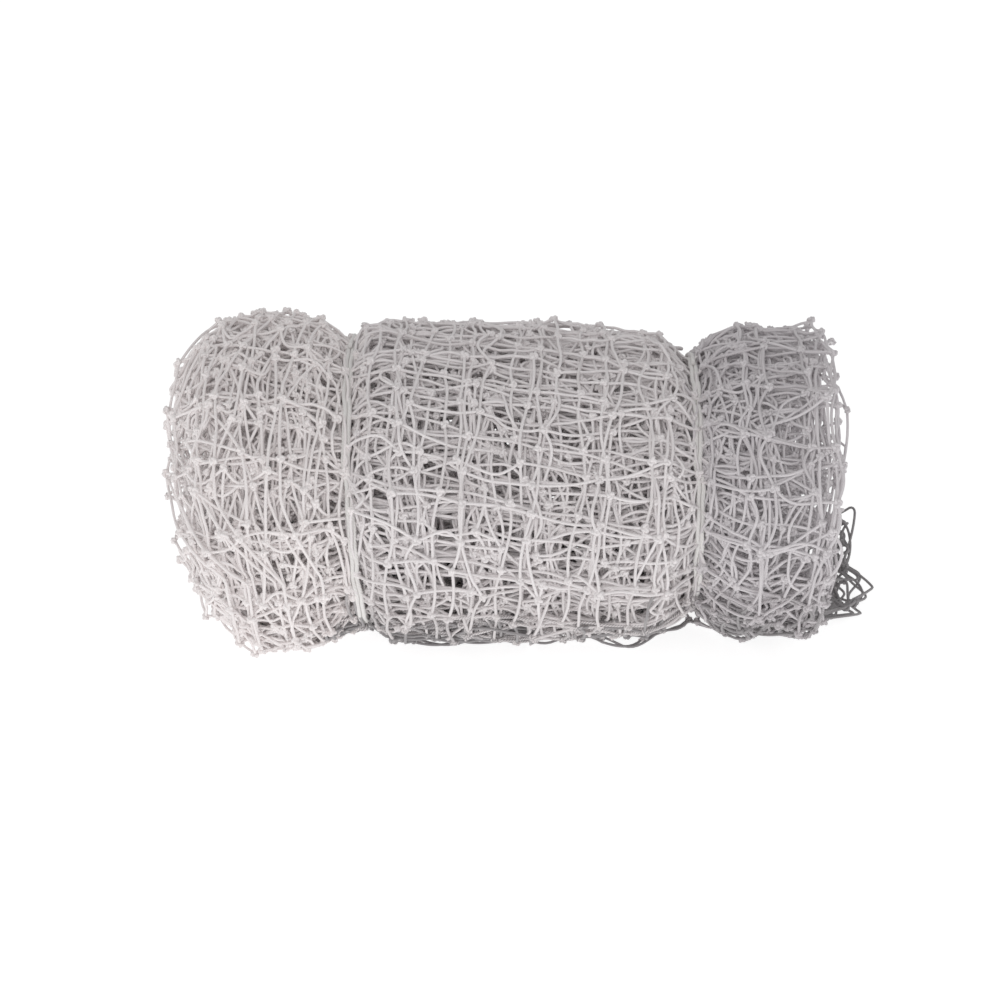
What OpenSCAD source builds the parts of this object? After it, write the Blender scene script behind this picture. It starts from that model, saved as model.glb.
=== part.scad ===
// A knotted tennis net, folded in half, rolled up along its length and tied in two places.
// X runs along the bundle, Y across it, and Z up from the floor it lies on, in millimetres.

/* [Bundle] */
// Length over all, from the folded end to the loose corner
overall_l = 494; // [470:1:520]
// How far the loose corner stands out past the right end
corner_out = 14; // [8:1:18]
// Height of the bundle's axis above the floor, which its soft underside is flattened on
axis_z = 100; // [97:0.5:102]

/* [End with the fold] */
// Half width of the left end
left_half_w = 140; // [130:1:150]
// Half height of the left end
left_half_h = 113; // [108:1:118]
// Length over which the left end rounds off
left_round = 71; // [50:1:90]

/* [Middle] */
// Half width of the middle
mid_half_w = 135; // [128:1:142]
// Half height of the middle
mid_half_h = 107; // [103:1:111]

/* [End with the edges] */
// Half width of the right end
right_half_w = 132; // [126:1:140]
// Half height of the right end
right_half_h = 107; // [103:1:111]
// Length over which the right end rounds off
right_round = 30; // [20:1:45]

/* [Necks] */
// Place of the left neck along the bundle
left_neck_x = -110; // [-120:1:-100]
// Place of the right neck along the bundle
right_neck_x = 122; // [112:1:130]
// Angle that the left tie leans over, its top towards the folded end
left_lean = 4; // [0:0.5:6]
// Share by which the left tie pulls the net in
left_pull = 0.12; // [0.08:0.01:0.16]
// Share by which the right tie pulls the net in
right_pull = 0.18; // [0.12:0.01:0.22]
// Length over which a lobe narrows towards its neck
shoulder_l = 45; // [30:1:60]
// Thickness of the gathered netting under a tie
neck_t = 6; // [5:0.5:8]
// Angle that each neck bends to
neck_bend = 8; // [4:1:10]

/* [Ties] */
// Diameter of the tie cord
tie_d = 3; // [2.5:0.1:3.5]
// Place of the knots round the neck, from the front at 0 over the top at 90
knot_angle = 142; // [130:1:150]

/* [Loose edges] */
// Mesh of the netting, knot to knot
mesh = 45; // [40:1:50]
// How far the edge meshes show on the floor in front of the middle
edge_out = 16; // [12:1:20]
// Thickness of the edge meshes where they lie flat
edge_t = 3; // [2:0.5:3]
// Thickness of the loose corner, which is a few layers of meshes
corner_t = 5; // [4:0.5:5]

/* [Hidden] */

twine_white = [0.86, 0.81, 0.81];
warm_white = [0.90, 0.84, 0.83];
cool_white = [0.74, 0.70, 0.72];
tie_white = [0.88, 0.87, 0.85];

left_x = -overall_l / 2;
right_x = overall_l / 2 - corner_out;
// Clearance between a lobe and the neck beside it
gap = 0.4;
// A wedge face opens a little more than the neck bends
wedge_slope = tan(neck_bend + 0.6);
// Angular steps round a lobe, and steps along a stretch of it
round_steps = 48;
end_steps = 7;
shoulder_steps = 5;
// How full a rounded end is, where 2 would be an ellipse
end_fullness = 2.4;
// Steps of a rounded end crowd towards its tip, which is this share of a step flat
end_crowding = 1.8;
tip_flat = 0.35;
// Sides of the cord, and steps in one turn of it
cord_sides = 8;
turn_steps = 20;

// How far each tie sinks below the lobes beside it, across and up
left_bite = [6, 0.6];
right_bite = [10, 6];
// Each neck: its place along the bundle, its half width and half height, and how far it
// slopes back for each millimetre up
left_neck = [
    left_neck_x,
    left_half_w * (1 - left_pull) - left_bite.x,
    mid_half_h * (1 - left_pull) - left_bite.y,
    tan(left_lean)
];
right_neck = [
    right_neck_x,
    right_half_w * (1 - right_pull) - right_bite.x,
    mid_half_h * (1 - right_pull) - right_bite.y,
    0
];

// The turns sink a little into the netting, and lie side by side with a little air between
turn_out = tie_d / 2 - 0.3;
turn_side = tie_d / 2 + 0.05;
// The two ends of a turn rise to the knot, whose middle is this far out
end_out = turn_out + tie_d;
knot_out = tie_d * 1.6;
// Angles past the knot where the first turn comes down, and where it crosses to the second
end_angle = 4;
cross_angle = 2;

// Air between the edge meshes on the floor and the netting behind them
edge_gap = 0.3;
// How far the loose corner reaches in past the right end, under the netting
corner_in = 10;
// Radius of the loop of cord that stands for a knot
loop_r = tie_d * 0.9;

function unit(v) = v / norm(v);

// The place of a neck's middle plane along the bundle, at height z
function neck_place(neck, z) = neck[0] - neck[3] * (z - axis_z);

// Share of the full section at a distance t into a rounded end of length l
function end_share(t, l) =
    t >= l ? 1 : pow(1 - pow(1 - t / l, end_fullness), 1 / end_fullness);

// Share of the full section at u of the way out of a neck that pulls in by p
function neck_share(u, p) = 1 - p * pow(1 - u, 2);

// One section of a lobe at x: an ellipse about the axis, flat where it meets the floor
function section(x, w, h) = [
    for (i = [0 : round_steps - 1])
        let (a = 360 * i / round_steps)
        [x, w * cos(a), max(0, axis_z + h * sin(a))]
];

// The sections from a neck out to where the lobe has its full size, on one side (-1 or 1).
// The first one lies on two planes that meet at the pivot, so that the neck can bend there:
// they lean back up and down where it lifts, and front and back where it swings.
function shoulder(neck, side, w, h, pull, lifts) = [
    for (j = [0 : shoulder_steps])
        let (u = j / shoulder_steps, s = neck_share(u, pull), near = neck_t / 2 + gap)
        [
            for (p = section(0, w * s, h * s))
                let (
                    lean = wedge_slope * abs(lifts ? p.z - axis_z : p.y),
                    start = neck_place(neck, p.z) + side * (near + lean),
                    end = neck[0] + side * (near + shoulder_l)
                )
                [start + (end - start) * u, p.y, p.z]
        ]
];

// The sections of a rounded end, from its tip at x inwards on one side (-1 or 1)
function rounded_end(x, side, w, h, l) = [
    for (i = [0 : end_steps])
        let (
            t = l * pow((i + tip_flat) / (end_steps + tip_flat), end_crowding),
            s = end_share(t, l)
        )
        section(x + side * t, w * s, h * s)
];

function reversed(list) = [for (i = [len(list) - 1 : -1 : 0]) list[i]];

// The two halves of an end face, which is bent along the pivot's line
function end_faces(first, lifts) =
    let (n = round_steps, from = lifts ? 0 : n / 4)
    [for (half = [0, 1]) [for (i = [0 : n / 2]) first + (from + half * n / 2 + i) % n]];

// A closed skin over sections that all have the same number of points.
// An end is flat unless its fold says that it lifts or swings.
module skin(rings, first_fold = "flat", last_fold = "flat") {
    n = len(rings[0]);
    m = len(rings);
    last_from = (m - 1) * n;
    sides = [
        for (j = [0 : m - 2], i = [0 : n - 1])
            let (k = (i + 1) % n)
            each [
                [j * n + i, j * n + k, (j + 1) * n + k],
                [j * n + i, (j + 1) * n + k, (j + 1) * n + i]
            ]
    ];
    flat_first = [[for (i = [0 : n - 1]) i]];
    flat_last = [[for (i = [0 : n - 1]) last_from + i]];
    first = first_fold == "flat" ? flat_first : end_faces(0, first_fold == "lifts");
    last = last_fold == "flat" ? flat_last : end_faces(last_from, last_fold == "lifts");
    polyhedron(
        points = [for (r = rings) each r],
        faces = concat(sides, [for (f = first) reversed(f)], last)
    );
}

// A cord of diameter d along a path that keeps roughly square to X
module cord(path, d) {
    last = len(path) - 1;
    skin([
        for (i = [0 : last])
            let (
                t = unit(path[min(i + 1, last)] - path[max(i - 1, 0)]),
                u = unit(cross(t, [1, 0, 0])),
                v = cross(t, u)
            )
            [
                for (k = [0 : cord_sides - 1])
                    let (a = 360 * k / cord_sides)
                    path[i] + d / 2 * (cos(a) * u + sin(a) * v)
            ]
    ]);
}

module left_end_netting() {
    tip = rounded_end(left_x, 1, left_half_w, left_half_h, left_round);
    neck = shoulder(left_neck, -1, left_half_w, left_half_h, left_pull, true);
    color(warm_white)
        skin(concat(tip, reversed(neck)), last_fold = "lifts");
}

module centre_netting() {
    left = shoulder(left_neck, 1, mid_half_w, mid_half_h, left_pull, false);
    right = shoulder(right_neck, -1, mid_half_w, mid_half_h, right_pull, false);
    color(twine_white)
        skin(concat(left, reversed(right)), first_fold = "swings", last_fold = "swings");
}

module right_end_netting() {
    neck = shoulder(right_neck, 1, right_half_w, right_half_h, right_pull, true);
    tip = rounded_end(right_x, -1, right_half_w, right_half_h, right_round);
    color(cool_white)
        skin(concat(neck, reversed(tip)), first_fold = "lifts");
}

// The netting gathered under a tie, as a disc across the bundle
module neck_disc(neck) {
    disc_steps = 60;
    color(twine_white)
        skin([
            for (side = [-1, 1])
                [
                    for (i = [0 : disc_steps - 1])
                        round_neck(neck, -360 * i / disc_steps, 0) + [side * neck_t / 2, 0, 0]
                ]
        ]);
}

module left_neck_netting() {
    neck_disc(left_neck);
}

module right_neck_netting() {
    neck_disc(right_neck);
}

// A point at an angle round a neck, a height out from the gathered netting
function round_neck(neck, a, out) =
    let (z = axis_z + (neck[2] + out) * sin(a))
    [neck_place(neck, z), -(neck[1] + out) * cos(a), z];

// Angles round one turn, from first to last with whole steps between
function turn_angles(first, last) =
    concat([first], [for (i = [1 : turn_steps - 1]) 360 * i / turn_steps], [last]);

// The two turns of a tie side by side, which cross under the knot and end inside it.
// Each entry holds the angle past the knot, the height out and the side that it lies on.
wrap_points = concat(
    [[0, end_out, -turn_side]],
    [for (a = turn_angles(end_angle, 360 - cross_angle)) [a, turn_out, -turn_side]],
    [for (a = turn_angles(cross_angle, 360 - end_angle)) [360 + a, turn_out, turn_side]],
    [[720, end_out, turn_side]]
);

module tie_wraps(neck) {
    path = [for (p = wrap_points) round_neck(neck, knot_angle + p[0], p[1]) + [p[2], 0, 0]];
    color(tie_white) cord(path, tie_d);
}

module left_tie_wraps() {
    tie_wraps(left_neck);
}

module right_tie_wraps() {
    tie_wraps(right_neck);
}

// The knot of a tie, as a loop of cord pulled down round the crossing of its two ends
module tie_knot(neck) {
    color(tie_white)
        translate(round_neck(neck, knot_angle, knot_out))
            rotate([0, 90, 0]) {
                rotate_extrude($fn = 48)
                    translate([loop_r, 0])
                        circle(d = tie_d, $fn = 24);
                sphere(r = tie_d, $fn = 32);
            }
}

module left_tie_knot() {
    tie_knot(left_neck);
}

module right_tie_knot() {
    tie_knot(right_neck);
}

// Each tail lies in the groove on top of the turns: angle past the knot, height out, and sideways
tail_points = [
    [3.6, 4.6, 0.0],
    [6, 4.6, 0.0],
    [9, 4.5, 0.2],
    [12, 4.4, 0.4],
    [15, 4.4, 0.5],
    [18, 4.4, 0.4],
    [21, 4.4, 0.1],
    [24, 4.4, -0.3],
    [27, 4.4, -0.6],
    [30, 4.4, -0.8],
    [33, 4.4, -0.9],
    [36, 4.4, -0.9],
    [39, 4.4, -0.7],
    [42, 4.4, -0.4],
    [45, 4.4, 0.0]
];

module tie_tail(neck, way) {
    path = [
        for (p = tail_points)
            round_neck(neck, knot_angle + way * p[0], p[1]) + [way * p[2], 0, 0]
    ];
    color(tie_white) cord(path, tie_d);
}

module left_tie_upper_tail() {
    tie_tail(left_neck, -1);
}

module left_tie_lower_tail() {
    tie_tail(left_neck, 1);
}

module right_tie_upper_tail() {
    tie_tail(right_neck, -1);
}

module right_tie_lower_tail() {
    tie_tail(right_neck, 1);
}

// A flat patch of meshes on the floor, with round corners
module flat_patch(low, high, r, t) {
    linear_extrude(t)
        hull()
            for (x = [low.x + r, high.x - r], y = [low.y + r, high.y - r])
                translate([x, y])
                    circle(r, $fn = 32);
}

// The outer end of the roll: a row of open meshes that lies on the floor under the front
module free_edge_meshes() {
    back_y = -mid_half_w * sqrt(1 - pow((axis_z - edge_t) / mid_half_h, 2)) - edge_gap;
    color(cool_white)
        flat_patch(
            [left_neck_x + mesh / 2, back_y - edge_out],
            [right_neck_x - mesh / 2, back_y],
            edge_out / 3, edge_t
        );
}

// A corner of the net that has slipped out of the right end and lies on the floor
module loose_corner_meshes() {
    color(cool_white)
        flat_patch([right_x - corner_in, -mesh], [right_x + corner_out, 2 * mesh], mesh / 5, corner_t);
}

left_end_netting();
centre_netting();
right_end_netting();
left_neck_netting();
right_neck_netting();
free_edge_meshes();
loose_corner_meshes();
left_tie_wraps();
left_tie_knot();
left_tie_upper_tail();
left_tie_lower_tail();
right_tie_wraps();
right_tie_knot();
right_tie_upper_tail();
right_tie_lower_tail();
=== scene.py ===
"""A knotted tennis net, folded in half, rolled up along its length and tied in two places.

The whole net is modelled: every bar of twine between two knots is a tube, and every knot is a
small knotted tube. A place on the net is (s, p): s runs along the net, from the middle of the
roll out to its free end, and p runs across it, from one edge over the fold to the other edge.
All places come from the CAD frame, in metres.
"""

import math

import bpy
import numpy as np
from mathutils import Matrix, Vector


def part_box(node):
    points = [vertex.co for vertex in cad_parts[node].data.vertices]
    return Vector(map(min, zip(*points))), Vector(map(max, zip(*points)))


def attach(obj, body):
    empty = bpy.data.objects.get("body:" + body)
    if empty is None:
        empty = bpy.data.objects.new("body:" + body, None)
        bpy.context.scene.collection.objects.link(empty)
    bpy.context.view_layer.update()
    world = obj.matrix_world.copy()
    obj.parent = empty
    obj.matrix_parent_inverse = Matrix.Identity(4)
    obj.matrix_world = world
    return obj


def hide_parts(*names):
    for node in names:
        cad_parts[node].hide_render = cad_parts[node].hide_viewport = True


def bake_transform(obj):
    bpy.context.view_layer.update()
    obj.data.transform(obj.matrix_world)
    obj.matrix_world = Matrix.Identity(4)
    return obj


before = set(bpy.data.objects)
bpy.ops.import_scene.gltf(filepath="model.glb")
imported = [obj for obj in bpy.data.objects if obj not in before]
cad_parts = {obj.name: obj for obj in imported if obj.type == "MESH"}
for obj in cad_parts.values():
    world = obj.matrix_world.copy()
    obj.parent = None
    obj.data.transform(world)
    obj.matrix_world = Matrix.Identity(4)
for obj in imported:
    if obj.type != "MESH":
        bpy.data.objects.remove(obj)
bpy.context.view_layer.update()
rng = np.random.default_rng(7)

# ---------------------------------------------------------------- sizes from the CAD frame


def box_of(node):
    low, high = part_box(node)
    return np.array(low), np.array(high)


# A neck that stands upright is this thick in the CAD; one that leans takes up more of X
NECK_THICK = 0.006


def neck_of(side):
    low, high = box_of(side + "_neck_netting")
    middle, half = (low + high) / 2, (high - low) / 2
    lean = (half[0] - NECK_THICK / 2) / half[2]
    return {"x": middle[0], "w": half[1], "h": half[2], "z": middle[2], "lean": lean}


NECKS = {side: neck_of(side) for side in ("left", "right")}
LEFT_X, RIGHT_X = NECKS["left"]["x"], NECKS["right"]["x"]
AXIS_Z = NECKS["left"]["z"]
TIP_X = box_of("left_end_netting")[0][0]
END_X = box_of("right_end_netting")[1][0]
CORNER = box_of("loose_corner_meshes")
EDGE = box_of("free_edge_meshes")
# The knots stand out from the netting, so it is laid this much inside each lobe's CAD shape
LOBES = {
    name: (box_of(node)[1][1] - inside, box_of(node)[1][2] - AXIS_Z - inside)
    for name, node, inside in (
        ("left", "left_end_netting", 0.0),
        ("centre", "centre_netting", 0.0015),
        ("right", "right_end_netting", 0.0035),
    )
}

# ---------------------------------------------------------------- the net

TWINE = 0.002
MESH = 0.045
CELLS_LONG = 284
CELLS_HIGH = 24
FOLD_CELL = 12.15
FOLD = FOLD_CELL * MESH
# Rolled up by hand, the net is this much longer than the way it takes, in the middle of the
# roll and in the outer turns, which are drawn tight
INNER_SLACK, OUTER_SLACK = 1.16, 1.008
OUTER_ROWS = 30
ROW_SLACK = np.where(
    np.arange(CELLS_LONG) < CELLS_LONG - OUTER_ROWS, INNER_SLACK, OUTER_SLACK
)
ROW_S = np.concatenate([[0], np.cumsum(MESH / ROW_SLACK)])
LENGTH_S = ROW_S[-1]
# The roll starts at this share of its full radius
START_SHARE = 0.1
# Half the distance between the two plies
PLY_OUT = 0.0007
# The outer turns lie closer together than the middle of the roll: where that sets in, over what
# share of the radius, and how many times as close
TIGHT_FROM, TIGHT_OVER, TIGHT = 0.80, 0.14, 9.0

# ---------------------------------------------------------------- camera, at the photo's angle

ELEVATION = math.radians(28)
DISTANCE = 1.9
FRAME_WIDTH = 0.71
AIM = np.array([-0.0124, 0.0, 0.0843])


def aim(obj, target):
    direction = Vector(target) - obj.location
    obj.rotation_euler = direction.to_track_quat("-Z", "Y").to_euler()


camera = bpy.data.objects.new("camera", bpy.data.cameras.new("camera"))
bpy.context.scene.collection.objects.link(camera)
camera.location = AIM + DISTANCE * np.array([0, -math.cos(ELEVATION), math.sin(ELEVATION)])
camera.data.sensor_width = 36
camera.data.lens = 36 * DISTANCE / FRAME_WIDTH
aim(camera, AIM)
bpy.context.scene.camera = camera

# ---------------------------------------------------------------- mesh building


def unit(v):
    return v / np.maximum(np.linalg.norm(v, axis=-1, keepdims=True), 1e-12)


def tube_parts(lines, reference, radius, sides, closed=False):
    """Rings [n, rings, sides, 3] round each line. lines and reference are [n, rings, 3]."""
    if closed:
        tangent = np.roll(lines, -1, axis=1) - np.roll(lines, 1, axis=1)
    else:
        tangent = np.gradient(lines, axis=1)
    tangent = unit(tangent)
    u = unit(reference - tangent * np.sum(reference * tangent, axis=-1, keepdims=True))
    v = np.cross(tangent, u)
    a = 2 * math.pi * np.arange(sides) / sides
    round_it = np.cos(a)[:, None] * u[:, :, None] + np.sin(a)[:, None] * v[:, :, None]
    return lines[:, :, None] + radius * round_it


class Part:
    """Collects tubes, and makes one mesh object of them."""

    def __init__(self):
        self.verts, self.quads, self.caps, self.uvs, self.tones = [], [], [], [], []
        self.count = 0

    def add(self, rings, lengths, tones, closed=False):
        """Adds tubes with the points rings [n, rings, sides, 3], the distance along each at each
        ring [n, rings + 1 if closed], and one tone for each."""
        n, m, k, _ = rings.shape
        steps = m if closed else m - 1
        base = self.count + np.arange(n)[:, None, None] * m * k
        i = np.arange(steps)[None, :, None]
        j = np.arange(k)[None, None, :]
        i2, j2 = (i + 1) % m, (j + 1) % k
        quads = np.stack(
            [base + i * k + j, base + i * k + j2, base + i2 * k + j2, base + i2 * k + j], axis=-1
        )
        self.quads.append(quads.reshape(-1, 4))
        u0 = np.broadcast_to(lengths[:, :steps, None], (n, steps, k))
        u1 = np.broadcast_to(lengths[:, 1 : steps + 1, None], (n, steps, k))
        v0 = np.broadcast_to(j / k, (n, steps, k))
        v1 = v0 + 1 / k
        uv = np.stack([u0, v0, u0, v1, u1, v1, u1, v0], axis=-1)
        self.uvs.append(uv.reshape(-1, 2))
        if not closed:
            ends = self.count + np.arange(n)[:, None] * m * k
            first = ends + np.arange(k)[::-1]
            last = ends + (m - 1) * k + np.arange(k)
            self.caps.append((k, np.concatenate([first, last])))
        self.verts.append(rings.reshape(-1, 3))
        self.tones.append(np.repeat(tones, m * k))
        self.count += n * m * k

    def make(self, name, material):
        mesh = bpy.data.meshes.new(name)
        verts = np.concatenate(self.verts)
        quads = np.concatenate(self.quads)
        loops = [quads.ravel()] + [c.ravel() for _, c in self.caps]
        sizes = [np.full(len(quads), 4)] + [np.full(len(c), k) for k, c in self.caps]
        sizes = np.concatenate(sizes)
        loops = np.concatenate(loops)
        mesh.vertices.add(len(verts))
        mesh.vertices.foreach_set("co", verts.astype(np.float32).ravel())
        mesh.loops.add(len(loops))
        mesh.loops.foreach_set("vertex_index", loops.astype(np.int32))
        mesh.polygons.add(len(sizes))
        starts = np.concatenate([[0], np.cumsum(sizes)[:-1]])
        mesh.polygons.foreach_set("loop_start", starts.astype(np.int32))
        mesh.polygons.foreach_set("use_smooth", np.ones(len(sizes), bool))
        uv = np.zeros((len(loops), 2), np.float32)
        given = np.concatenate(self.uvs)
        uv[: len(given)] = given
        layer = mesh.uv_layers.new(name="twist")
        layer.data.foreach_set("uv", uv.ravel())
        tone = mesh.attributes.new("tone", "FLOAT", "POINT")
        tone.data.foreach_set("value", np.concatenate(self.tones).astype(np.float32))
        mesh.update()
        mesh.validate()
        mesh.materials.append(material)
        obj = bpy.data.objects.new(name, mesh)
        bpy.context.scene.collection.objects.link(obj)
        return obj


# ---------------------------------------------------------------- materials

# The darkest colour of the twine, a painted shade: only the darkening towards the floor and by the
# right end's corner reaches it
DEEPEST_SHADE = (0.25, 0.235, 0.24)


def twine_material(name, colour, dark_tone_and_shade, pitch):
    """Twisted white twine: three strands laid round each other, fibres, tone that differs at
    random, and painted shade: darker grooves in the twist and darker colours for low tones.
    """
    material = bpy.data.materials.new(name)
    material.use_nodes = True
    nodes, links = material.node_tree.nodes, material.node_tree.links
    shader = nodes["Principled BSDF"]
    shader.inputs["Roughness"].default_value = 0.8
    shader.inputs["Specular IOR Level"].default_value = 0.3
    shader.inputs["Sheen Weight"].default_value = 0.15
    shader.inputs["Sheen Roughness"].default_value = 0.5

    def math_node(kind, a, b=None):
        node = nodes.new("ShaderNodeMath")
        node.operation = kind
        for socket, value in zip(node.inputs, (a, b)):
            if value is None:
                continue
            if isinstance(value, (int, float)):
                socket.default_value = value
            else:
                links.new(value, socket)
        return node.outputs[0]

    coordinates = nodes.new("ShaderNodeTexCoord")
    uv = nodes.new("ShaderNodeUVMap")
    uv.uv_map = "twist"
    split = nodes.new("ShaderNodeSeparateXYZ")
    links.new(uv.outputs[0], split.inputs[0])
    turns = math_node("MULTIPLY", split.outputs["X"], 1 / pitch)
    phase = math_node("MULTIPLY", math_node("ADD", turns, split.outputs["Y"]), 3 * math.pi)
    strands = math_node("ABSOLUTE", math_node("SINE", phase))

    fibres = nodes.new("ShaderNodeTexNoise")
    fibres.inputs["Scale"].default_value = 1800
    fibres.inputs["Detail"].default_value = 3
    links.new(coordinates.outputs["Object"], fibres.inputs["Vector"])
    height = math_node("ADD", strands, math_node("MULTIPLY", fibres.outputs["Fac"], 0.5))
    bump = nodes.new("ShaderNodeBump")
    bump.inputs["Strength"].default_value = 0.55
    bump.inputs["Distance"].default_value = 0.0004
    links.new(height, bump.inputs["Height"])
    links.new(bump.outputs["Normal"], shader.inputs["Normal"])

    tone = nodes.new("ShaderNodeAttribute")
    tone.attribute_name = "tone"
    blotches = nodes.new("ShaderNodeTexNoise")
    blotches.inputs["Scale"].default_value = 22
    blotches.inputs["Detail"].default_value = 4
    links.new(coordinates.outputs["Object"], blotches.inputs["Vector"])
    # The grooves between the strands are painted darker: a painted shade
    groove_shade = math_node("MULTIPLY", strands, 0.18)
    share = math_node("ADD", math_node("MULTIPLY", blotches.outputs["Fac"], 0.5), groove_shade)
    share = math_node("ADD", share, math_node("MULTIPLY", tone.outputs["Fac"], 0.45))
    ramp = nodes.new("ShaderNodeValToRGB")
    ramp.color_ramp.elements[0].position = 0.0
    ramp.color_ramp.elements[0].color = (*DEEPEST_SHADE, 1)
    ramp.color_ramp.elements[1].position = 0.72
    ramp.color_ramp.elements[1].color = (*colour, 1)
    # The darker colour between is reached both by tones that differ at random and by painted shade
    middle = ramp.color_ramp.elements.new(0.10)
    middle.color = (*dark_tone_and_shade, 1)
    links.new(share, ramp.inputs["Fac"])
    links.new(ramp.outputs["Color"], shader.inputs["Base Color"])
    return material


# Lit and shaded copies of one twine: the left end's is painted lighter and warmer and the right
# end's darker, a painted light and shade for the light that falls from the left
LIT_END_NETTING = twine_material("netting_warm", (0.97, 0.91, 0.905), (0.84, 0.77, 0.76), 0.006)
NEUTRAL = twine_material("netting", (0.89, 0.84, 0.845), (0.68, 0.63, 0.63), 0.006)
SHADED_END_NETTING = twine_material("netting_cool", (0.68, 0.64, 0.66), (0.43, 0.395, 0.41), 0.006)
TIE = twine_material("tie_cord", (0.86, 0.84, 0.82), (0.66, 0.63, 0.60), 0.008)

# ---------------------------------------------------------------- the ties

TIE_D = 0.003
KNOT_ANGLE = 142
TURN_OUT = TIE_D / 2 - 0.0003
TURN_SIDE = TIE_D / 2 + 0.00005
KNOT_OUT = TIE_D * 1.6
TIE_KNOT_SCALE = 0.00105
# Each tail's route, as in the CAD: degrees past the knot, and millimetres out and sideways
TAIL_POINTS = [
    (3.6, 4.6, 0.0),
    (6, 4.6, 0.0),
    (9, 4.5, 0.2),
    (12, 4.4, 0.4),
    (15, 4.4, 0.5),
    (18, 4.4, 0.4),
    (21, 4.4, 0.1),
    (24, 4.4, -0.3),
    (27, 4.4, -0.6),
    (30, 4.4, -0.8),
    (33, 4.4, -0.9),
    (36, 4.4, -0.9),
    (39, 4.4, -0.7),
    (42, 4.4, -0.4),
    (45, 4.4, 0.0),
]


def round_neck(neck, degrees, out, side=0.0):
    a = np.radians(degrees)
    y = -(neck["w"] + out) * np.cos(a)
    z = neck["z"] + (neck["h"] + out) * np.sin(a)
    x = neck["x"] - neck["lean"] * (z - neck["z"]) + side
    return np.stack([x, y, z], axis=-1)


def lengths_along(lines, closed=False):
    ends = np.concatenate([lines, lines[:, :1]], axis=1) if closed else lines
    steps = np.linalg.norm(np.diff(ends, axis=1), axis=-1)
    return np.concatenate([np.zeros((len(lines), 1)), np.cumsum(steps, axis=1)], axis=1)


def cord_part(line, radius, sides, reference=(1.0, 0.0, 0.0)):
    lines = np.asarray(line)[None]
    refs = np.broadcast_to(np.array(reference), lines.shape)
    part = Part()
    part.add(tube_parts(lines, refs, radius, sides), lengths_along(lines), np.array([0.6]))
    return part


def trefoil(steps):
    """A closed knotted line in its own XY plane, which reaches 3 from its middle."""
    t = 2 * math.pi * np.arange(steps) / steps
    return np.stack(
        [
            np.sin(t) + 2 * np.sin(2 * t),
            np.cos(t) - 2 * np.cos(2 * t),
            -1.4 * np.sin(3 * t),
        ],
        axis=-1,
    )


for side, neck in NECKS.items():
    body = side + "_tie"
    # Two turns side by side, which cross under the knot and end inside it
    a = np.linspace(4, 716, 260)
    cross = np.clip((a - 358) / 4, 0, 1)
    cross = cross * cross * (3 - 2 * cross)
    uneven = sum(
        np.sin(np.radians(a) * f + ph) for f, ph in ((5, 0.3), (9, 1.7), (14, 4.0), (23, 2.2))
    )
    out = TURN_OUT + 0.00035 * uneven
    turns = round_neck(neck, KNOT_ANGLE + a, out, TURN_SIDE * (2 * cross - 1) + 0.0004 * uneven)
    first = round_neck(neck, np.array([KNOT_ANGLE + 0.0]), KNOT_OUT * 0.85, -TURN_SIDE)
    last = round_neck(neck, np.array([KNOT_ANGLE + 720.0]), KNOT_OUT * 0.85, TURN_SIDE)
    wraps = cord_part(np.concatenate([first, turns, last]), TIE_D / 2, 10)
    piece = wraps.make(side + "_tie_cord_turns", TIE)
    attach(piece, body)
    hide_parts(side + "_tie_wraps")

    # The knot, drawn down flat over the crossing of the turns
    centre = round_neck(neck, np.array([float(KNOT_ANGLE)]), KNOT_OUT)[0]
    up = unit(round_neck(neck, np.array([float(KNOT_ANGLE)]), 1.0)[0] - centre)
    across = np.array([1.0, 0.0, 0.0])
    line = trefoil(72) * TIE_KNOT_SCALE
    axes = np.stack([across, np.cross(up, across), up])
    lines = (line @ axes + centre)[None]
    refs = np.broadcast_to(up, lines.shape)
    knot = Part()
    knot.add(
        tube_parts(lines, refs, TIE_D * 0.5, 12, closed=True),
        lengths_along(lines, closed=True),
        np.array([0.65]),
        closed=True,
    )
    piece = knot.make(side + "_tie_cord_knot", TIE)
    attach(piece, body)
    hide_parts(side + "_tie_knot")

    for tail, way in (("upper", -1), ("lower", 1)):
        table = np.array(TAIL_POINTS)
        route = round_neck(
            neck, KNOT_ANGLE + way * table[:, 0], table[:, 1] / 1000, way * table[:, 2] / 1000
        )
        length = float(np.sum(np.linalg.norm(np.diff(route, axis=0), axis=1)))
        piece = cord_part(route, TIE_D / 2, 12).make(side + "_tie_" + tail + "_end", TIE)
        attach(piece, body)
        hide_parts(side + "_tie_" + tail + "_tail")

# ---------------------------------------------------------------- the shape of the bundle

# Each side of each neck: how far the pinch reaches, and how steeply it sets in
PINCHES = {
    ("left", -1): (0.056, 2.2),
    ("left", 1): (0.021, 2.4),
    ("right", -1): (0.040, 2.0),
    ("right", 1): (0.032, 2.2),
}
# The bundle is drawn in this far to each side of a tie
TIED = 0.003


def smooth(t):
    t = np.clip(t, 0, 1)
    return t * t * (3 - 2 * t)


def section(x):
    """Half width and half height of the bundle at x."""
    names = np.where(x < LEFT_X, 0, np.where(x < RIGHT_X, 1, 2))
    full = np.array([LOBES[n] for n in ("left", "centre", "right")])[names]
    size = full.copy()
    for (side, way), (reach, power) in PINCHES.items():
        neck = NECKS[side]
        distance = (x - neck["x"]) * way
        near = (distance >= 0) & (distance < TIED + reach)
        distance = np.clip(distance - TIED, 0, None)
        share = np.where(near, (1 - np.clip(distance / reach, 0, 1)) ** power, 0)
        for i, key in enumerate(("w", "h")):
            size[..., i] -= share * (full[..., i] - neck[key])
    return size[..., 0], size[..., 1]


# Where the rounding of the left end starts, how full it is, and how far the middle is sunk in
DOME = 0.071
FULLNESS = 2.4
DOME_SINK = 0.045
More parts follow.
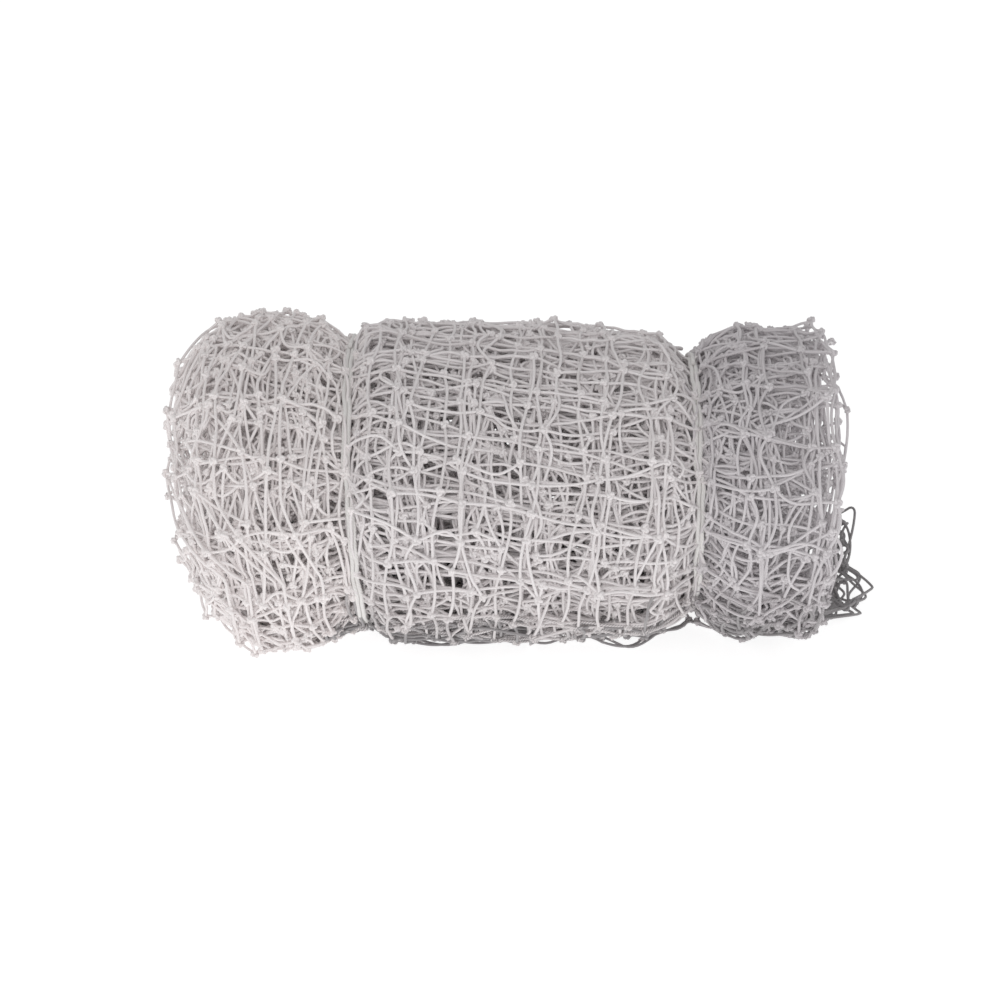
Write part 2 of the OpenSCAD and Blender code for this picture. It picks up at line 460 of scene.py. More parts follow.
# The furthest that any turn is drawn in over the end, as a share of its own radius
DOME_LAST = 0.12
# The right end: how far in the edges of the net lie, and where it starts to round off
EDGE_IN = 0.018
BLUNT = 0.015
SHARES = np.linspace(START_SHARE, 1.0, 31)
PROFILE_STEPS = 400


def profile_of(share):
    """The way of one turn from its edge at the right to the middle of the left end: x, share of
    the full section, the normal's parts along X and outwards, and how far along it the left
    neck, the dome and its end lie."""
    x_start = TIP_X + DOME
    body = np.linspace(END_X - EDGE_IN, x_start, 700)
    to_end = np.clip((body - (END_X - BLUNT)) / BLUNT, 0, 1)
    rounding = 1 - (1 - to_end**FULLNESS) ** (1 / FULLNESS)
    q_body = share * (1 - rounding * np.clip((share - 0.5) / 0.5, 0, 1) * 0.8)
    depth = DOME - DOME_SINK * (1 - share)
    last = math.acos(DOME_LAST ** (FULLNESS / 2))
    theta = np.linspace(0, last, 300)[1:]
    dome_x = x_start - depth * np.sin(theta) ** (2 / FULLNESS)
    dome_q = share * np.cos(theta) ** (2 / FULLNESS)
    x = np.concatenate([body, dome_x])
    q = np.concatenate([q_body, dome_q])
    w, h = section(x)
    r = q * (w + h) / 2
    along = np.concatenate([[0], np.cumsum(np.hypot(np.diff(x), np.diff(r)))])
    ways = np.interp([-LEFT_X, -x_start], -x, along)
    even = np.linspace(0, along[-1], PROFILE_STEPS)
    x, q, r = (np.interp(even, along, v) for v in (x, q, r))
    dx, dr = np.gradient(x), np.gradient(r)
    scale = np.hypot(dx, dr)
    return x, q, dr / scale, -dx / scale, ways[0], ways[1], along[-1]


PROFILES = [profile_of(share) for share in SHARES]
TABLE = np.stack([np.stack(p[:4], axis=-1) for p in PROFILES])
NECK_WAY, DOME_WAY, WHOLE_WAY = (np.array([p[i] for p in PROFILES]) for i in (4, 5, 6))
# Between its edges and the left neck the net lies drawn out to this pitch, in the outermost turn
# and inside
OUTER_PITCH, INNER_PITCH = 0.0448, 0.0425


def along_of(share, way, turn):
    """How far along the profile of its turn a place on the net lies."""
    neck_way, dome_way, whole_way = (
        np.interp(share, SHARES, v) for v in (NECK_WAY, DOME_WAY, WHOLE_WAY)
    )
    inner, fold_at, slide = turn
    pitch = OUTER_PITCH + (INNER_PITCH - OUTER_PITCH) * inner
    neck_p = neck_way * MESH / pitch
    fold_way = dome_way + (whole_way - dome_way) * fold_at
    fold_way = np.minimum(fold_way, neck_way + (FOLD - neck_p) * OUTER_PITCH / MESH)
    over = np.clip((way - neck_p) / (FOLD - neck_p), 0, 1)
    along = np.where(way < neck_p, way * pitch / MESH, neck_way + over * (fold_way - neck_way))
    return along + slide * (1 - over)


def look_up(share, way, turn):
    """x, share of the section and the normal's parts along X and outwards, for a way across the
    net from its edge."""
    whole_way = np.interp(share, SHARES, WHOLE_WAY)
    along = along_of(share, way, turn)
    last = len(SHARES) - 1
    k = np.clip((share - START_SHARE) / (1 - START_SHARE) * last, 0, last - 0.001)
    m = np.clip(along / whole_way, 0, 1) * (PROFILE_STEPS - 1.001)
    k0, m0 = k.astype(int), m.astype(int)
    kf, mf = (k - k0)[..., None], (m - m0)[..., None]
    low = TABLE[k0, m0] * (1 - mf) + TABLE[k0, m0 + 1] * mf
    high = TABLE[k0 + 1, m0] * (1 - mf) + TABLE[k0 + 1, m0 + 1] * mf
    row = low * (1 - kf) + high * kf
    return row[..., 0], row[..., 1], row[..., 2], row[..., 3]


# Turns of the roll against the way along the net, and the angle round a section against turns
CENTRE_W, CENTRE_H = LOBES["centre"]
ROUND = np.linspace(0, 2 * math.pi, 721)
round_way = np.hypot(CENTRE_W * np.sin(ROUND), CENTRE_H * np.cos(ROUND))
round_way = np.concatenate([[0], np.cumsum((round_way[1:] + round_way[:-1]) / 2 * ROUND[1])])
PERIMETER = round_way[-1]
ROUND_SHARE = round_way / PERIMETER

# The share of the full radius and the turns from the middle, against the way along the net
grid_share = np.linspace(START_SHARE, 1.02, 4001)
grid_close = 1 + (TIGHT - 1) * smooth((grid_share - TIGHT_FROM) / TIGHT_OVER)
grid_s = np.concatenate([[0], np.cumsum(np.diff(grid_share**2) * grid_close[1:])])
grid_s *= LENGTH_S / np.interp(1.0, grid_share, grid_s)
grid_turns = np.concatenate([[0], np.cumsum(np.diff(grid_s) / grid_share[1:])]) / PERIMETER


def share_at(s):
    return np.interp(s, grid_s, grid_share)


def turns_at(s):
    """Turns from the middle of the roll."""
    return np.interp(s, grid_s, grid_turns)


def angle_of(turns):
    """Angle round the section, from the front at 0 over the top at a quarter turn."""
    whole = np.floor(turns)
    return 2 * math.pi * whole + np.interp(turns - whole, ROUND_SHARE, ROUND)


def turns_of(degrees):
    return float(np.interp(math.radians(degrees), ROUND, ROUND_SHARE))


# The free end leaves the roll just behind its middle line and lies on the floor to the front.
# Its knots lie this far inside the front of the CAD patch, and its arcs hang out past them
FREE_EDGE_IN = 0.0195
LEAVE_ANGLE = 265.3
LEAVE_TURNS = turns_of(LEAVE_ANGLE)
EDGE_FRONT = EDGE[0][1] + FREE_EDGE_IN
LEAVE_Y = -CENTRE_W * math.cos(math.radians(LEAVE_ANGLE))
END_TURNS = LEAVE_TURNS + (LEAVE_Y - EDGE_FRONT) / PERIMETER
TOTAL_TURNS = float(turns_at(np.array(LENGTH_S)))
TURN_SHIFT = END_TURNS - TOTAL_TURNS
LEAVE_S = LENGTH_S - (LEAVE_Y - EDGE_FRONT)


class Field:
    """A smooth random field over the net, about 1 in size."""

    def __init__(self, count, low, high):
        size = 2 * math.pi / np.exp(rng.uniform(math.log(low), math.log(high), count))
        way = rng.uniform(0, 2 * math.pi, count)
        self.ks, self.kp = size * np.cos(way), size * np.sin(way)
        self.phase = rng.uniform(0, 2 * math.pi, count)
        self.gain = math.sqrt(2 / count)

    def __call__(self, s, p):
        s, p = np.asarray(s)[..., None], np.asarray(p)[..., None]
        return self.gain * np.sin(self.ks * s + self.kp * p + self.phase).sum(-1)


LUMP_MODES = [
    (rng.integers(2, 7), rng.uniform(15, 70), rng.uniform(0, 2 * math.pi), rng.uniform(0.5, 1))
    for _ in range(12)
]


def lumps(x, a):
    """Soft unevenness of the whole bundle, about 1 in size."""
    total = 0
    for n, k, phase, size in LUMP_MODES:
        total = total + size * np.sin(n * a + k * x + phase)
    return total / 2.5


# The lowest that twine lies, and where it lies with its knots under it
FLOOR_Z = TWINE / 2
LOW_Z = 0.0022
# The loose corner: how many of the outer turns it holds, the angles round the section that it
# spans, over how many degrees and how far across the net it sets in, and where its highest mesh
# stands, how wide it is and how high
LOOSE_TURNS = 5.3
LOOSE_ARC = (222, 290)
LOOSE_SOFT = 12
LOOSE_WAY, LOOSE_WAY_SOFT = 0.072, 0.030
EAR_Y, EAR_WIDE, EAR_HIGH = 0.074, 0.020, 0.028
# How much further in and higher the innermost of its turns lies than the outermost
LOOSE_IN, LOOSE_UP = 0.008, 0.005
# Below this height the bundle's underside is flattened by its own weight
SOFT_Z = 0.025
# How far the net stands out where it passes over a tie, and is drawn in under one
OVER_TIE, UNDER_TIE = 0.0034, 0.0014
# How much fuller the middle is on top at its left, and how high its soft lumps are
FULLER, LUMP_HIGH = 0.0045, 0.0016
# How far the left end leans, how much more it is drawn in below its middle, and how far the
# right end is drawn in there
LEFT_TILT, LEFT_UNDER, RIGHT_UNDER = 0.012, 0.007, 0.017
ragged = Field(10, 0.06, 0.3)
edge_wave = Field(8, 0.05, 0.2)
fold_wave = Field(12, 0.15, 0.9)
slide_wave = Field(14, 0.3, 1.5)
cover_wave = Field(10, 0.03, 0.10)


def depth_of(s):
    """Turns from the free end of the net."""
    return END_TURNS - (turns_at(s) + TURN_SHIFT)


def turn_of(s):
    """How a turn lies: whether it is an inner one, how far over the left end its fold lies, and
    how far the whole turn has slid to the left in the roll."""
    inner = smooth((depth_of(s) - 0.7) / 0.8)
    fold_at = 0.52 + 0.30 * np.clip(fold_wave(s, 0.0), -1, 1)
    slide = inner * (0.003 + 0.009 * np.clip(slide_wave(s, 0.0), -1, 1.2))
    return inner, fold_at, slide


def looseness(s, a, way):
    """How far a place belongs to the corner that has slipped out, between 0 and 1."""
    deg = np.degrees(a) % 360
    first, last = LOOSE_ARC
    arc = smooth((deg - first) / LOOSE_SOFT) * smooth((last - deg) / LOOSE_SOFT)
    return (depth_of(s) < LOOSE_TURNS) * arc * smooth((LOOSE_WAY - way) / LOOSE_WAY_SOFT)


def place(s, p, out):
    """Positions and outward normals of places on the net, out from the turn's own surface."""
    share = share_at(s)
    turns = turns_at(s) + TURN_SHIFT
    a = angle_of(turns)
    back = p > FOLD
    way = np.where(back, 2 * FOLD - p, p)
    x, q, nx, nr = look_up(share, way, turn_of(s))
    beyond = np.clip(-way, 0, 0.004)
    near_edge = np.exp(-np.clip(way, 0, None) / 0.027)
    x = x + beyond + 0.003 * ragged(s, np.where(back, 0.5, 0.0)) * near_edge
    # The plies lie a little apart, and round over into each other at the fold
    to_fold = np.clip(FOLD - way, 0, None)
    bend = np.sqrt(np.clip(1 - (1 - np.clip(to_fold / 0.004, 0, 1)) ** 2, 0, 1))
    apart = PLY_OUT + 0.0013 * np.exp(-to_fold / 0.012)
    out = out + np.where(back, -1, 1) * apart * bend
    w, h = section(x)
    tied = np.exp(-(((x - LEFT_X) / 0.005) ** 2)) + np.exp(-(((x - RIGHT_X) / 0.005) ** 2))
    # The ties are threaded through the outermost turns, so the net passes over them here and there
    cover = smooth(0.75 + 1.2 * cover_wave(s, 0.0)) * (depth_of(s) < 1.4)
    out = out + tied * (cover * OVER_TIE - (1 - cover) * UNDER_TIE)
    # The middle of the bundle is a little fuller on top at the left than at the right
    fuller = np.clip(-x / 0.085, -1, 1) * (1 - smooth((np.abs(x) - 0.085) / 0.02))
    out = out + FULLER * fuller * np.clip(np.sin(a), 0, 1) * q
    out = out + LUMP_HIGH * lumps(x, a) * (1 - tied) * share
    ny, nz = -np.cos(a) / w, np.sin(a) / h
    scale = np.hypot(ny, nz)
    ny, nz = ny / scale, nz / scale
    # The left end leans back under its top
    tilt = (LEFT_TILT + LEFT_UNDER * (np.sin(a) < 0)) * np.clip((TIP_X + 0.09 - x) / 0.09, 0, 1)
    x = x + nx * out - tilt * np.sin(a) * q + 0.5 * np.minimum(tilt, LEFT_TILT)
    # and the right end is drawn in below its middle
    x = x + RIGHT_UNDER * smooth((x - END_X + 0.06) / 0.05) * np.clip(np.sin(a) * q, -1, 0)
    y = -q * w * np.cos(a) + ny * nr * out
    z = AXIS_Z + q * h * np.sin(a) + nz * nr * out
    normal = np.stack([nx, ny * nr, nz * nr], axis=-1)
    near_left = np.exp(-(((x - LEFT_X) / 0.08) ** 2))
    x = x - NECKS["left"]["lean"] * (z - AXIS_Z) * near_left

    # The free end of the net, flat on the floor under the front of the middle
    flat = smooth((x - LEFT_X - 0.012) / 0.02) * smooth((RIGHT_X + 0.026 - x) / 0.012)
    flat = flat * smooth((s - LEAVE_S) / 0.02)
    drawn_back = 0.016 * smooth((x - RIGHT_X + 0.045) / 0.035)
    y_flat = LEAVE_Y - (s - LEAVE_S) + 0.003 * edge_wave(x, 0.0) + drawn_back
    z_flat = LOW_Z + np.clip(out, -0.0005, 0.004)
    y = y + flat * (y_flat - y)
    z = z + flat * (z_flat - z)

    # The underside is pressed flat on the floor
    low = AXIS_Z - h
    press = (low < FLOOR_Z) & (z < SOFT_Z) & (flat < 0.5)
    ratio = (SOFT_Z - FLOOR_Z) / (SOFT_Z - low)
    z = np.where(press, SOFT_Z - (SOFT_Z - z) * ratio, z)

    # A corner of the outer turns has slipped out of the right end and lies on the floor
    layer = depth_of(s) / LOOSE_TURNS
    loose = looseness(s, a, way)
    edge_way = np.clip(way, -0.014, 0.08)
    x_loose = CORNER[1][0] - 0.002 - LOOSE_IN * layer - edge_way * 0.70
    x_loose = x_loose + 0.003 * ragged(s * 3, 1.0)
    z_loose = LOW_Z + LOOSE_UP * layer + 0.0015 * (1 + ragged(s * 4, 2.0)) + np.clip(out, 0, 0.03)
    # One mesh of it stands up like an ear
    ear = np.exp(-(((y - EAR_Y) / EAR_WIDE) ** 2)) * np.clip(1 - edge_way / 0.04, 0, 1.2)
    z_loose = z_loose + EAR_HIGH * ear * (1 - 1.1 * layer).clip(0, 1)
    x = x + loose * (x_loose - x)
    z = z + loose * (z_loose - z)
    z = np.maximum(z, FLOOR_Z)
    return np.stack([x, y, z], axis=-1), normal


# ---------------------------------------------------------------- where the knots lie

rows, columns = np.meshgrid(np.arange(CELLS_LONG + 1), np.arange(CELLS_HIGH + 1), indexing="ij")
row, column = rows.ravel(), columns.ravel()
knot_s = ROW_S[row]
knot_p = column * MESH


def knot_index(i, j):
    return i * (CELLS_HIGH + 1) + j


i, j = np.meshgrid(np.arange(CELLS_LONG), np.arange(CELLS_HIGH + 1), indexing="ij")
round_bars = np.stack([knot_index(i, j).ravel(), knot_index(i + 1, j).ravel()], axis=-1)
i, j = np.meshgrid(np.arange(CELLS_LONG + 1), np.arange(CELLS_HIGH), indexing="ij")
long_bars = np.stack([knot_index(i, j).ravel(), knot_index(i, j + 1).ravel()], axis=-1)
bars = np.concatenate([round_bars, long_bars])

depth = depth_of(knot_s)
back = knot_p > FOLD
way = np.where(back, 2 * FOLD - knot_p, knot_p)
share = share_at(knot_s)
turn = turn_of(knot_s)
inner = turn[0]
knot_x, knot_q, _, _ = look_up(share, way, turn)
STEP = 0.002
pull = (along_of(share, way + STEP, turn) - along_of(share, way - STEP, turn)) / (2 * STEP)
in_left = smooth((LEFT_X - 0.004 - knot_x) / 0.03)
in_right = smooth((knot_x - RIGHT_X) / 0.03)

# Long, soft distortions. In the outermost turn the rows of meshes slant down to the right over
# the upper front, and the columns are drawn over to the left under the front; the inner ply has
# slipped a little against the outer one
SLANT = 0.25
slant = SLANT * smooth(depth / 0.45) * (1 - 0.65 * smooth((depth - 0.68) / 0.22))
slant = slant + inner * 0.10 * np.clip(Field(10, 0.5, 1.6)(knot_s, 0.0), -1, 1)
knot_s = knot_s + slant * (way - 0.19)
drawn = smooth((depth - 0.74) / 0.16) * (1 - smooth((depth - 1.02) / 0.10))
drawn = drawn * smooth((way - 0.09) / 0.08) * (1 - smooth((way - 0.27) / 0.12))
moved = way + 0.032 * drawn
slip = 0.0045 * (1 + 0.8 * np.clip(Field(12, 0.15, 0.6)(knot_s, knot_p), -1.2, 1.2))
knot_s = knot_s + back * slip * smooth((FOLD - way) / 0.09)
knot_p = np.where(back, 2 * FOLD - moved, moved)

# Short-range disorder, little in the outermost turn and much inside
calm, wild = 0.0030, 0.018
loose_share = np.maximum(0.75 * in_left, 0.50 * in_right)
swing = calm + (wild - calm) * np.maximum(smooth((depth - 0.75) / 0.9), loose_share)
shift_s, shift_p = Field(40, 0.06, 0.18), Field(40, 0.06, 0.18)
knot_s = knot_s + swing * 1.15 * shift_s(knot_s, knot_p)
knot_p = knot_p + swing * shift_p(knot_s, knot_p) * (1 - 0.7 * (way < 0.03))
scatter = 0.0016 + 0.0080 * np.maximum(smooth((depth - 0.8) / 0.8), loose_share)
knot_s = knot_s + rng.normal(0, 1, len(row)) * scatter
knot_p = knot_p + rng.normal(0, 1, len(row)) * scatter * (1 - 0.7 * (way < 0.03))
at_end = row == CELLS_LONG
knot_s[at_end] = LENGTH_S + rng.normal(0, 0.0015, np.sum(at_end))

# No bar is pulled longer than the twine between its knots
w, h = section(knot_x)
girth = knot_q / share * (w + h) / (CENTRE_W + CENTRE_H)
bar_girth = (girth[bars[:, 0]] + girth[bars[:, 1]]) / 2
bar_pull = np.maximum((pull[bars[:, 0]] + pull[bars[:, 1]]) / 2, 0.3)
for _ in range(60):
    ds = knot_s[bars[:, 1]] - knot_s[bars[:, 0]]
    dp = knot_p[bars[:, 1]] - knot_p[bars[:, 0]]
    length = np.hypot(ds * bar_girth, dp * bar_pull)
    over = np.clip(1 - MESH * 1.002 / np.maximum(length, 1e-6), 0, None)
    count = np.ones(len(row))
    move_s, move_p = np.zeros(len(row)), np.zeros(len(row))
    for end, way_sign in ((0, 1), (1, -1)):
        index = bars[:, end]
        count += np.bincount(index, over > 0, len(row))
        move_s += np.bincount(index, way_sign * over * ds, len(row))
        move_p += np.bincount(index, way_sign * over * dp, len(row))
    move_s[at_end] = 0
    knot_s += move_s / count
    knot_p += move_p / count
knot_s = np.clip(knot_s, 0, LENGTH_S + 0.003)

rough = 0.0012 + 0.0018 * smooth(depth / 2)
knot_out = rng.normal(0, 1, len(row)) * rough
knot_out = np.where(depth < 1.0, np.abs(knot_out) * 0.6, knot_out)
knot_at, knot_normal = place(knot_s, knot_p, knot_out)

# ---------------------------------------------------------------- the twine between the knots

bar_depth = depth[bars].mean(axis=1)
bar_at = knot_at[bars].mean(axis=1)
chord = np.linalg.norm(knot_at[bars[:, 0]] - knot_at[bars[:, 1]], axis=-1)
spare = np.clip(MESH - chord, 0.0003, None)
bow = 2 / math.pi * np.sqrt(np.clip(chord * spare, 0, None))
is_round = np.arange(len(bars)) < len(round_bars)
bar_inner = smooth((bar_depth - 0.8) / 0.5)
bar_left = smooth((LEFT_X - 0.010 - bar_at[:, 0]) / 0.03)
bar_right = smooth((bar_at[:, 0] - RIGHT_X - 0.010) / 0.03)
# The twine that is to spare in the outermost turn and over the left end is taken up by its knots
BOW_OUTER, BOW_MORE_INSIDE, BOW_LEFT, BOW_AT_EDGE = 0.0028, 0.0072, 0.0065, 0.004
limit = BOW_OUTER + BOW_MORE_INSIDE * np.maximum(bar_inner, 0.5 * bar_right)
limit = np.where(is_round, limit + bar_left * (BOW_LEFT - limit), limit)
limit = np.where(is_round & (way[bars].min(axis=1) < 0.001), BOW_AT_EDGE, limit)
# Here and there a bar has been dragged out into a loop
limit = limit * (1 + 1.2 * (rng.uniform(0, 1, len(bars)) > 0.86))
bow = np.minimum(bow, limit)
random_sign = rng.choice([-1.0, 1.0], len(bars))
random_tilt = rng.uniform(-1, 1, len(bars)) * (0.6 + 0.7 * bar_inner)
inward = rng.uniform(-1.5, -0.9, len(bars))
random_tilt = np.where(is_round & (bar_left > 0.5), inward, random_tilt)
random_skew = rng.uniform(-0.35, 0.35, len(bars))
random_wave = rng.uniform(1.0, 3.0, len(bars))
bar_tone = np.clip(rng.normal(0.5, 0.25, len(bars)), 0, 1)
knot_tone = np.clip(rng.normal(0.85, 0.2, len(row)), 0, 1.2)
# The turns inside are painted lighter, a painted fill light in the depths of the roll, and the
# netting is painted darker towards the floor, a painted shade
bar_tone += 0.35 * smooth((bar_depth - 0.9) / 1.2)
# How strong the painted shade towards the floor is, how much less at the left end, which is
# painted lighter, below what height and over how much of it
FLOOR_SHADE, FLOOR_SHADE_LESS_LEFT, FLOOR_SHADE_TOP, FLOOR_SHADE_OVER = 1.6, 0.9, 0.115, 0.09
for tones, places, at_left in ((bar_tone, bar_at, bar_left), (knot_tone, knot_at, in_left)):
    tones -= (FLOOR_SHADE - FLOOR_SHADE_LESS_LEFT * at_left) * smooth((FLOOR_SHADE_TOP - places[:, 2]) / FLOOR_SHADE_OVER)
# How far the arcs of the free edge and of the loose corner's edge stand out
FREE_BOW, LOOSE_BOW = 0.0055, 0.009
# The free edge hangs out in even arcs between its knots
free_edge = ~is_round & at_end[bars[:, 0]] & at_end[bars[:, 1]]
bow[free_edge] = FREE_BOW
random_sign[free_edge] = -1.0
random_tilt[free_edge] = 0.0
# The loose corner is painted dark, a painted shade where it lies behind the right end, and its
# edge hangs out in arcs
on_edge = is_round & (way[bars].max(axis=1) < 0.001)
knot_loose = looseness(knot_s, angle_of(turns_at(knot_s) + TURN_SHIFT), way)
# The twine of the loose corner, which is painted dark: a painted shade
dark_tone_and_shade = (knot_loose[bars].mean(axis=1) > 0.5) & (bar_at[:, 0] > END_X - 0.012)
knot_tone[knot_loose > 0.5] = -0.9
# Whatever hangs on it belongs to it, from here to the right
LOOSE_FROM_X = RIGHT_X + 0.07
bar_loose = (knot_loose[bars].max(axis=1) > 0.01) & (bar_at[:, 0] > LOOSE_FROM_X)
knot_loose = (knot_loose > 0.01) & (knot_at[:, 0] > LOOSE_FROM_X)
# The right end is painted darker low down by the loose corner: a painted shade
corner_shade = smooth((bar_at[:, 0] - END_X + 0.045) / 0.04) * smooth((0.12 - bar_at[:, 2]) / 0.07)
bar_tone -= 1.1 * corner_shade
# The loose corner's bars get the darkest colour, a painted shade
bar_tone[dark_tone_and_shade] = -1.2
hanging = on_edge & dark_tone_and_shade
bow[hanging] = LOOSE_BOW
random_tilt[hanging] = 0.2
random_sign[hanging] = np.where(back[bars[hanging, 0]], 1.0, -1.0)


def strand_lines(which, steps):
    """Centre lines [n, steps + 1, 3] and normals of the bars with these numbers."""
    a, b = bars[which, 0], bars[which, 1]
    t = np.linspace(0, 1, steps + 1)[None, :]
    n = len(which)
    sign = random_sign[which][:, None]
    tilt = random_tilt[which][:, None]
    skew = random_skew[which][:, None]
    bend = np.sin(math.pi * t) + skew * np.sin(2 * math.pi * t)
    h = bow[which][:, None] * bend
    sa, sb, pa, pb = (v[:, None] for v in (knot_s[a], knot_s[b], knot_p[a], knot_p[b]))
    ds, dp = sb - sa, pb - pa
    scale = np.maximum(np.hypot(ds, dp), 0.004)
    s = sa + ds * t - dp / scale * h * sign * np.cos(tilt)
    p = pa + dp * t + ds / scale * h * sign * np.cos(tilt)
    base = knot_out[a][:, None] * (1 - t) + knot_out[b][:, None] * t
    wave = 0.0005 * np.sin(2 * math.pi * (t * random_wave[which][:, None] + sign * 0.2))
    sunk = (0.0002 + (0.0012 + 0.0022 * bar_left) * ~is_round)[which][:, None]
    rise = h * np.sin(tilt) * 0.45 - sunk * np.sin(math.pi * t)
    out = base + rise + wave
    out = np.where(bar_depth[which][:, None] < 1.0, np.clip(out, -0.003, 0.005), out)
    at, normal = place(s, p, out)
    return at, normal


# Outer turns are made finest, and the core of the roll, which hardly shows, most plainly: name,
# from and to how many turns from the free end, steps and sides of a bar, and those of a knot
TIERS = (
    ("outer", 0.0, 3.0, 12, 8, 24, 6),
    ("second", 3.0, 7.0, 8, 6, 15, 4),
    ("third", 7.0, 12.0, 7, 5, 12, 4),
    ("core", 12.0, 60.0, 5, 4, 9, 4),
)
# The ends take the lit and shaded copies of the twine: painted light and shade
# Name, from and to where along the bundle, material and slot
REGIONS = (
    ("left_end", -1.0, LEFT_X, LIT_END_NETTING, "netting_warm"),
    ("centre_left", LEFT_X, 0.0, NEUTRAL, "netting"),
    ("centre_right", 0.0, RIGHT_X, NEUTRAL, "netting"),
    ("right_end", RIGHT_X, 1.0, SHADED_END_NETTING, "netting_cool"),
)


# Radius of the twine in a knot, which is drawn up hard, as a share of the twine's diameter, the
# scale of the knot's line, and how far it stands out from its turn
KNOT_THICK = 0.60
KNOT_SIZE, KNOT_RAISED = 0.00084, 0.0006


def knot_lines(which, steps):
    """Small closed knots at the given crossings, turned every way but lying on the net."""
    n = len(which)
    normal = knot_normal[which]
    helper = unit(np.cross(normal, [0.3, 0.5, 0.81]))
    other = np.cross(normal, helper)
    spin = knot_spin[which][:, None]
    u = helper * np.cos(spin) + other * np.sin(spin)
    v = np.cross(normal, u)
    lean = knot_lean[which]
    normal = unit(normal + lean[:, :1] * u + lean[:, 1:] * v)
    u = unit(u - normal * np.sum(u * normal, axis=-1, keepdims=True))
    v = np.cross(normal, u)
    line = trefoil(steps)
    size = KNOT_SIZE * knot_size[which][:, None, None]
    at = (
        line[None, :, :1] * u[:, None] * 1.1
        + line[None, :, 1:2] * v[:, None] * 0.85
        + line[None, :, 2:] * normal[:, None]
    )
    lines = knot_at[which][:, None] + at * size + knot_normal[which][:, None] * KNOT_RAISED
    lines[..., 2] = np.maximum(lines[..., 2], TWINE * KNOT_THICK)
    return lines, np.broadcast_to(normal[:, None], lines.shape)


knot_spin = rng.uniform(0, 2 * math.pi, len(row))
knot_lean = rng.normal(0, 0.35, (len(row), 2))
knot_size = rng.uniform(0.85, 1.15, len(row))


def add_bars(part, which, steps, sides):
    lines, normals = strand_lines(which, steps)
    part.add(tube_parts(lines, normals, TWINE / 2, sides), lengths_along(lines), bar_tone[which])


def add_knots(part, which, steps, sides):
    lines, normals = knot_lines(which, steps)
    part.add(
        tube_parts(lines, normals, TWINE * KNOT_THICK, sides, closed=True),
        lengths_along(lines, closed=True),
        knot_tone[which],
        closed=True,
    )


def finish_netting(part, name, material):
    """Makes a piece of netting over a stretch of the bundle."""
    obj = part.make(name, material)
    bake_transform(obj)
    return obj


for region, x_low, x_high, material, slot in REGIONS:
    for tier, from_depth, to_depth, steps, sides, knot_steps, knot_sides in TIERS:
        inside = (bar_at[:, 0] >= x_low) & (bar_at[:, 0] < x_high) & ~bar_loose
        inside &= (bar_depth >= from_depth if from_depth else True) & (bar_depth < to_depth)
        part = Part()
        add_bars(part, np.flatnonzero(inside), steps, sides)
        inside = (knot_at[:, 0] >= x_low) & (knot_at[:, 0] < x_high) & ~knot_loose
        inside &= (depth >= from_depth if from_depth else True) & (depth < to_depth)
        knots = Part() if tier == "outer" else part
        add_knots(knots, np.flatnonzero(inside), knot_steps, knot_sides)
        finish_netting(part, f"{region}_{tier}_turns", material)
        if knots is not part:
            finish_netting(knots, f"{region}_{tier}_knots", material)

# The loose corner bends up from the floor beside the right end
part = Part()
add_bars(part, np.flatnonzero(bar_loose), steps=16, sides=8)
add_knots(part, np.flatnonzero(knot_loose), steps=24, sides=6)
finish_netting(part, "loose_corner_turns", SHADED_END_NETTING)
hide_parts("loose_corner_meshes")

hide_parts("left_end_netting", "left_neck_netting")
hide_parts("centre_netting", "free_edge_meshes")
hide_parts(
    "right_end_netting",
    "right_neck_netting",
)

# ---------------------------------------------------------------- floor and light


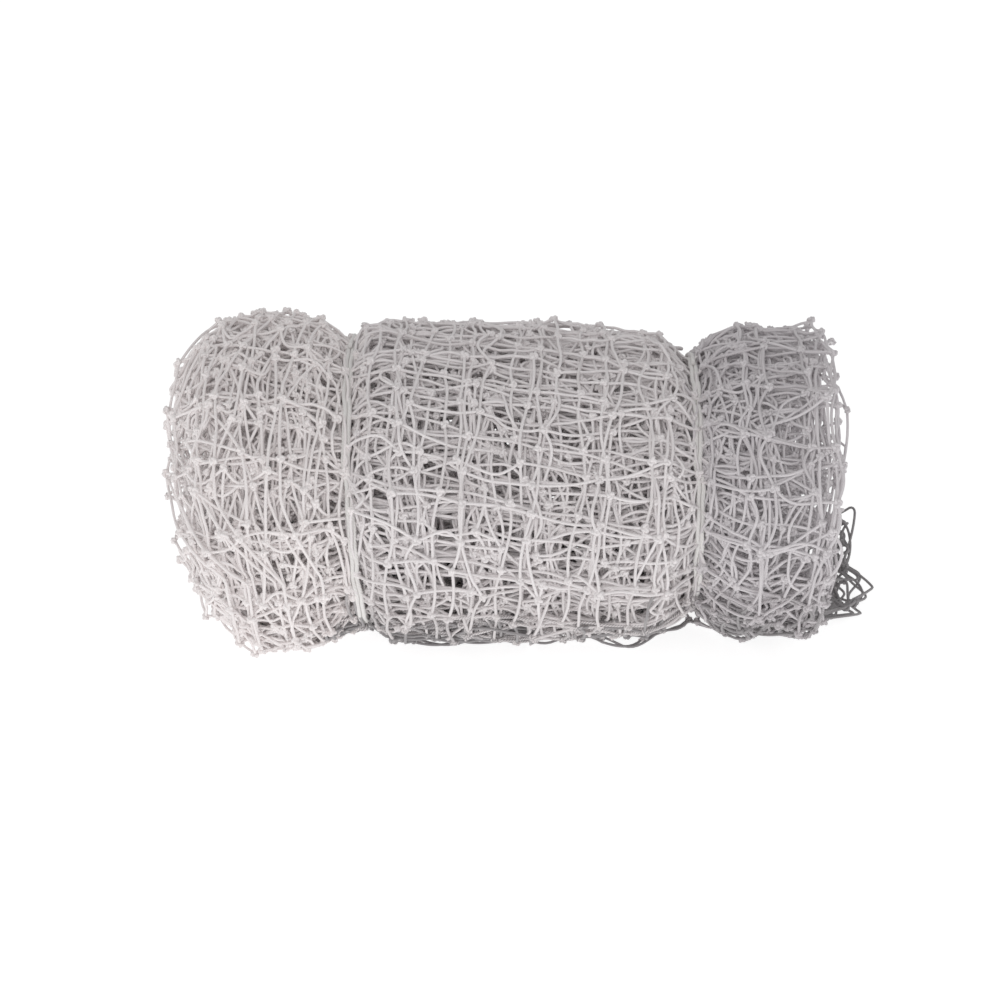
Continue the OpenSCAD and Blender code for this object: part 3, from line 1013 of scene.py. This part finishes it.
def plain_material(name, colour, roughness, glow):
    material = bpy.data.materials.new(name)
    material.use_nodes = True
    shader = material.node_tree.nodes["Principled BSDF"]
    shader.inputs["Base Color"].default_value = (*colour, 1)
    shader.inputs["Roughness"].default_value = roughness
    shader.inputs["Emission Color"].default_value = (1, 1, 1, 1)
    shader.inputs["Emission Strength"].default_value = glow
    return material


floor_mesh = bpy.data.meshes.new("floor")
floor_mesh.from_pydata(
    [(-30, -30, 0), (30, -30, 0), (30, 30, 0), (-30, 30, 0)], [], [(0, 1, 2, 3)]
)
pale_floor = plain_material("pale_floor", (0.62, 0.62, 0.62), roughness=0.8, glow=0.80)
floor_mesh.materials.append(pale_floor)
floor = bpy.data.objects.new("floor", floor_mesh)
bpy.context.scene.collection.objects.link(floor)


def soft_light(name, location, size, energy, colour):
    data = bpy.data.lights.new(name, "AREA")
    data.shape = "DISK"
    data.size = size
    data.energy = energy
    data.color = colour
    light = bpy.data.objects.new(name, data)
    light.location = location
    bpy.context.scene.collection.objects.link(light)
    aim(light, (0, 0, 0.1))
    return light


soft_light("key", (-0.7, -1.8, 1.3), size=1.0, energy=8, colour=(1.0, 0.985, 0.98))
soft_light("fill", (1.4, -1.4, 1.5), size=2.0, energy=3, colour=(0.98, 0.98, 1.0))

world = bpy.data.worlds.new("studio")
bpy.context.scene.world = world
world.use_nodes = True
# The walls of the studio throw soft light on the net, and look white to the camera
WALL_LIGHT, WALL_LOOK = 0.40, 1.0
nodes, links = world.node_tree.nodes, world.node_tree.links
mix = nodes.new("ShaderNodeMixShader")
walls = (nodes["Background"], nodes.new("ShaderNodeBackground"))
for number, (wall, strength) in enumerate(zip(walls, (WALL_LIGHT, WALL_LOOK)), 1):
    wall.inputs["Color"].default_value = (1, 1, 1, 1)
    wall.inputs["Strength"].default_value = strength
    links.new(wall.outputs["Background"], mix.inputs[number])
links.new(nodes.new("ShaderNodeLightPath").outputs["Is Camera Ray"], mix.inputs["Fac"])
links.new(mix.outputs["Shader"], nodes["World Output"].inputs["Surface"])
bpy.context.scene.view_settings.view_transform = "Standard"
bpy.context.scene.view_settings.gamma = 1.35
